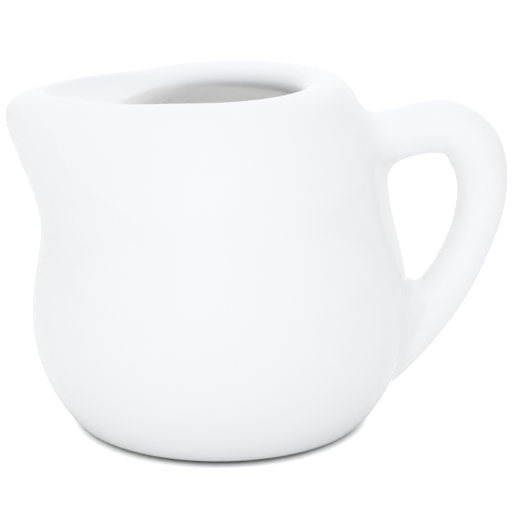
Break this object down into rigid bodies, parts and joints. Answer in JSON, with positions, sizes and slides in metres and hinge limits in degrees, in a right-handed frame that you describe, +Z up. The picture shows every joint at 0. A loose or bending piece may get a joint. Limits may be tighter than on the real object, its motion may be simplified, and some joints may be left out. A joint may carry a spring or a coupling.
{
  "type": "milk jug",
  "caption": "Small white porcelain milk jug with a rounded belly, a thick rounded lip drawn out into a beak spout, and an ear-shaped handle.",
  "frame": {"origin": "on the body's axis, in the plane of the foot ring that the jug stands on", "axes": "+Z up the body's axis, +X towards the handle, -X towards the spout; the XZ plane is the plane of symmetry"},
  "size_m": [0.077, 0.0586, 0.0539],
  "materials": {
    "glaze": "smooth white glaze, gloss"
  },
  "bodies": {
    "root": {"jug": "glaze"}
  },
  "joints": []
}
